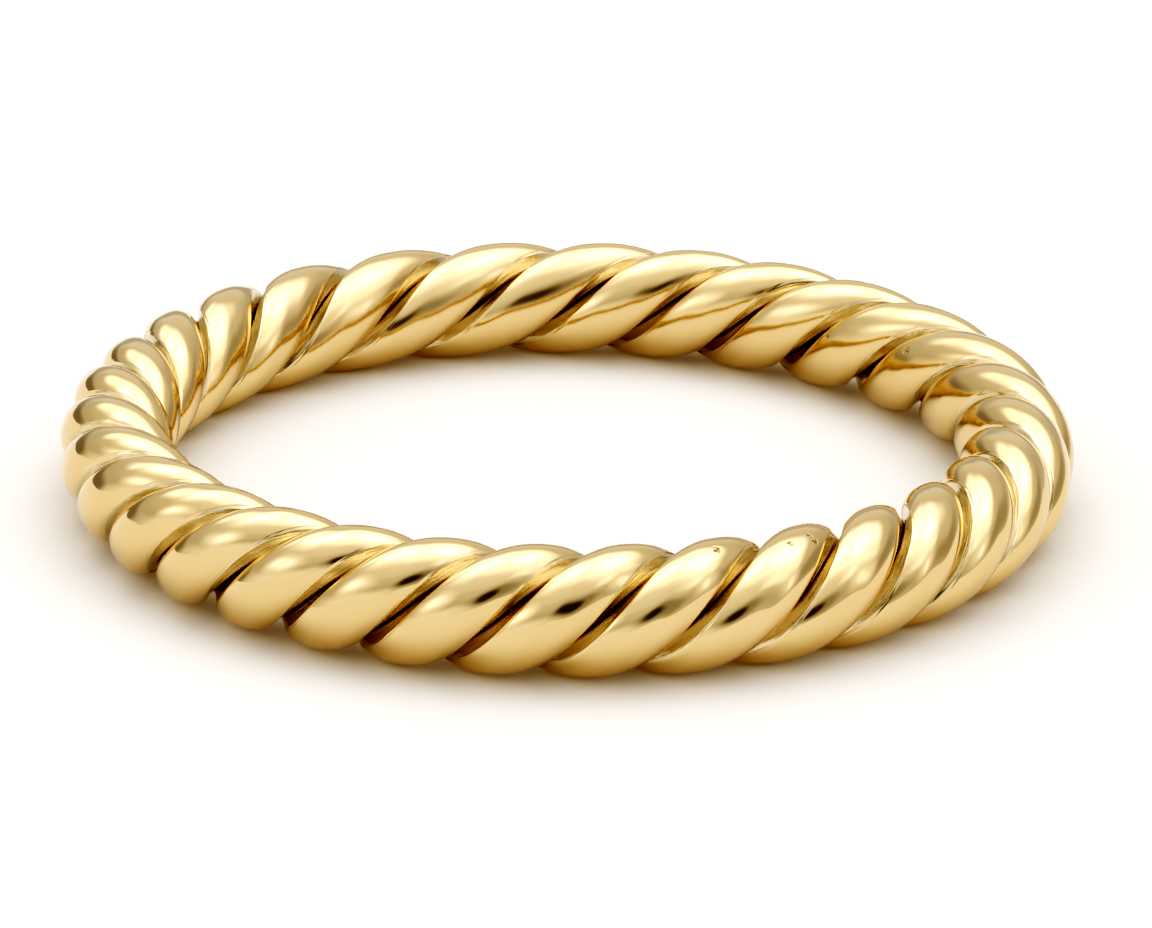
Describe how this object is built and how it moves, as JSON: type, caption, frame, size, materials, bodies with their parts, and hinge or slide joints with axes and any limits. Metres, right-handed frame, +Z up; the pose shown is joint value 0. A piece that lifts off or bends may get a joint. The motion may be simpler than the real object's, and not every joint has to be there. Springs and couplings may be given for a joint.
{
  "type": "rope twist ring",
  "caption": "Closed finger ring of polished gold strands twisted together like a rope, round an open finger hole.",
  "frame": {"origin": "on the ring's axis, at the surface that the ring lies on", "axes": "+Z up along the axis of the finger hole, -Y towards the side that faces the viewer, +X to the viewer's right"},
  "size_m": [0.0222, 0.0222, 0.0027],
  "materials": {
    "gold": "polished yellow gold on the crowns, rough and darker in the grooves"
  },
  "bodies": {
    "root": {"strand_a": "gold", "strand_b": "gold", "strand_c": "gold"}
  },
  "joints": []
}
